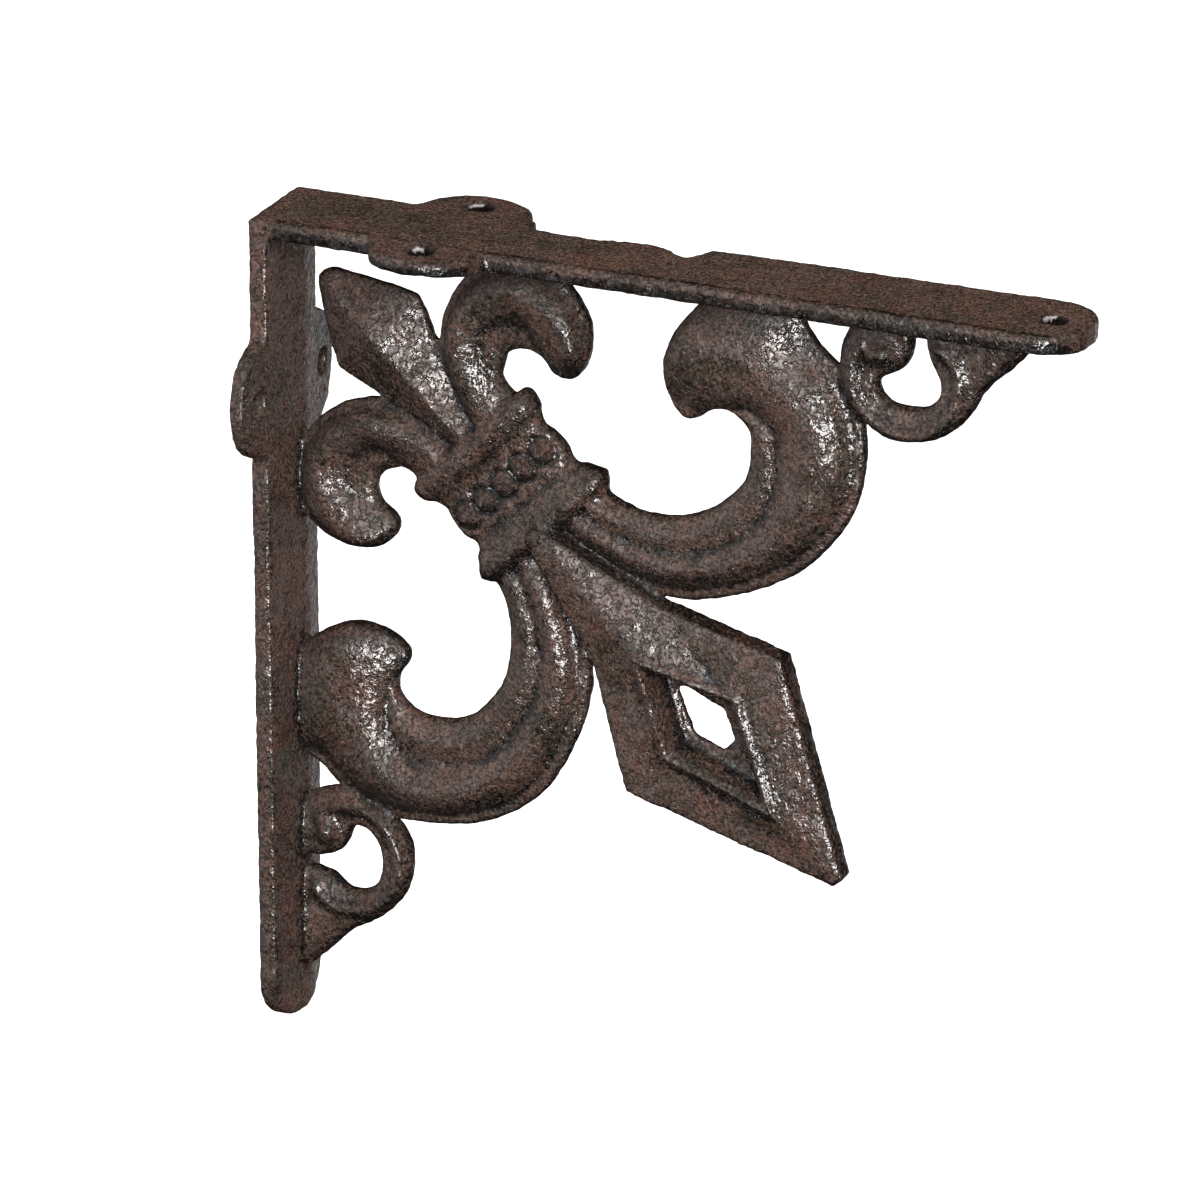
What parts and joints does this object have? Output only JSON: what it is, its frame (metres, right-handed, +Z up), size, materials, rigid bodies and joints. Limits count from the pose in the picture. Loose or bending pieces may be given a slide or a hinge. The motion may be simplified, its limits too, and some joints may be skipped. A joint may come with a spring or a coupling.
{
  "type": "shelf bracket",
  "caption": "Right-angled cast iron shelf bracket with screw ears, its corner braced by a pierced ornament of spearhead, petals, beaded collar, scrolls and lozenge.",
  "frame": {"origin": "on the wall face, on the middle line of the wall plate, midway between its two ear screws, 31.5 mm below the shelf face", "axes": "+X out from the wall under the shelf, +Y across the plates towards the flat back of the brace, +Z up"},
  "size_m": [0.145, 0.0348, 0.145],
  "materials": {
    "painted_cast_iron": "rough sand-cast iron under semi-gloss rust-brown enamel, blackish in the hollows and on the arrises, greyer on the raised forms"
  },
  "bodies": {
    "root": {"bracket_casting": "painted_cast_iron"}
  },
  "joints": []
}
